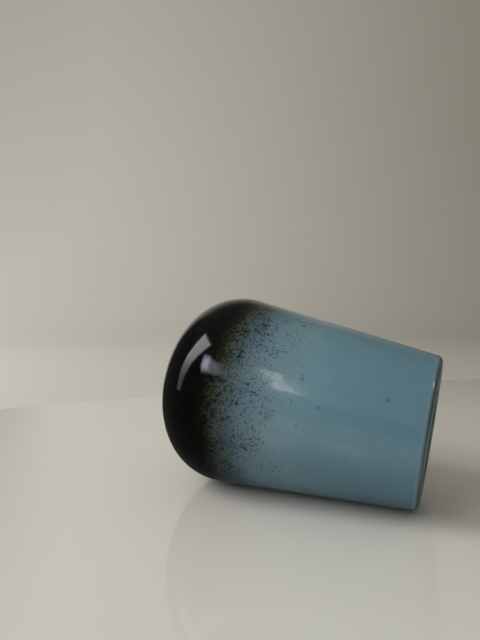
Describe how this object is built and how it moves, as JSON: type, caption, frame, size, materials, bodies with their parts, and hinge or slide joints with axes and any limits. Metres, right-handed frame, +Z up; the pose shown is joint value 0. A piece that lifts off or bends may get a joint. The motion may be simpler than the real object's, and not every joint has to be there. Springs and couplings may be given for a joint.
{
  "type": "guitar slide",
  "caption": "Tapered glazed ceramic finger slide for guitar, closed by a rounded dome, with a blind finger bore and a rounded lip.",
  "frame": {"origin": "middle of the footprint box of the slide lying on its side, on the surface that it lies on", "axes": "+Z up; the dome points towards -X and the open mouth towards +X; the slide's axis lies in the XZ plane, 8.1 degrees down from +X out of the mouth, because the lowest line of the tapered barrel is level"},
  "size_m": [0.0514, 0.0364, 0.0363],
  "materials": {
    "fired_clay": "matte",
    "liner_glaze": "gloss",
    "blue_glaze": "gloss",
    "black_glaze": "gloss"
  },
  "bodies": {
    "root": {"clay_body": "fired_clay", "liner_glaze": "liner_glaze", "blue_glaze": "blue_glaze", "black_glaze": "black_glaze"}
  },
  "joints": []
}
